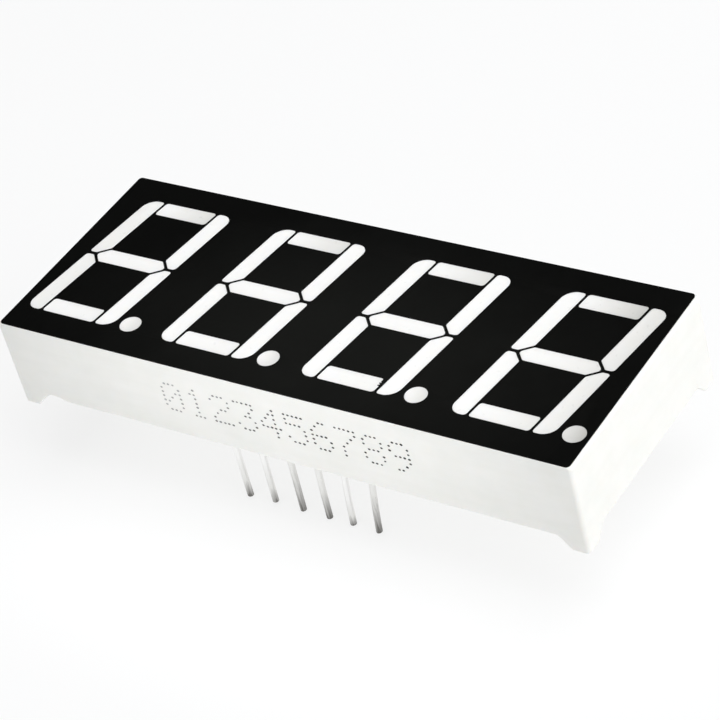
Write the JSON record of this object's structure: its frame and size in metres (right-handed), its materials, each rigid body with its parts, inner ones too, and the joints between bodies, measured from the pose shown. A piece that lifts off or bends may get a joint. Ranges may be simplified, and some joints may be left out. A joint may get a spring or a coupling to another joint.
{
  "type": "seven segment display module",
  "caption": "Seven segment display module: white reflector housing with a black face, slanted digit windows filled with white resin, round points, and contact pins along both sides underneath.",
  "frame": {"origin": "centre of the pin pattern, on the plane that the corner feet stand on", "axes": "+X along the row of digits as they read, +Y up the digits, +Z out of the face; the pins point along -Z"},
  "size_m": [0.0502, 0.019, 0.014],
  "materials": {
    "white_housing": "satin white moulded polycarbonate",
    "black_face": "satin black printed coat",
    "window_resin": "milky white diffusing resin, smooth",
    "back_resin": "poured milky resin, smooth",
    "board": "bare glass-fibre laminate",
    "copper": "plated copper",
    "solder": "solidified solder",
    "led_die": "bare semiconductor",
    "bond_wire": "drawn gold wire",
    "tinned_pin": "tinned wire, cut ends"
  },
  "bodies": {
    "root": {"reflector_housing": "white_housing", "face_mask": "black_face", "circuit_board": "board", "die_side_copper": "copper", "pin_side_copper": "copper", "solder_joints": "solder", "back_resin": "back_resin", "digit_1_segment_a": "window_resin", "digit_1_segment_b": "window_resin", "digit_1_segment_c": "window_resin", "digit_1_segment_d": "window_resin", "digit_1_segment_e": "window_resin", "digit_1_segment_f": "window_resin", "digit_1_segment_g": "window_resin", "digit_1_point": "window_resin", "digit_2_segment_a": "window_resin", "digit_2_segment_b": "window_resin", "digit_2_segment_c": "window_resin", "digit_2_segment_d": "window_resin", "digit_2_segment_e": "window_resin", "digit_2_segment_f": "window_resin", "digit_2_segment_g": "window_resin", "digit_2_point": "window_resin", "digit_3_segment_a": "window_resin", "digit_3_segment_b": "window_resin", "digit_3_segment_c": "window_resin", "digit_3_segment_d": "window_resin", "digit_3_segment_e": "window_resin", "digit_3_segment_f": "window_resin", "digit_3_segment_g": "window_resin", "digit_3_point": "window_resin", "digit_4_segment_a": "window_resin", "digit_4_segment_b": "window_resin", "digit_4_segment_c": "window_resin", "digit_4_segment_d": "window_resin", "digit_4_segment_e": "window_resin", "digit_4_segment_f": "window_resin", "digit_4_segment_g": "window_resin", "digit_4_point": "window_resin", "led_dies_digit_1": "led_die", "led_dies_digit_2": "led_die", "led_dies_digit_3": "led_die", "led_dies_digit_4": "led_die", "bond_wires_digit_1": "bond_wire", "bond_wires_digit_2": "bond_wire", "bond_wires_digit_3": "bond_wire", "bond_wires_digit_4": "bond_wire", "pin_1": "tinned_pin", "pin_2": "tinned_pin", "pin_3": "tinned_pin", "pin_4": "tinned_pin", "pin_5": "tinned_pin", "pin_6": "tinned_pin", "pin_7": "tinned_pin", "pin_8": "tinned_pin", "pin_9": "tinned_pin", "pin_10": "tinned_pin", "pin_11": "tinned_pin", "pin_12": "tinned_pin"}
  },
  "joints": []
}
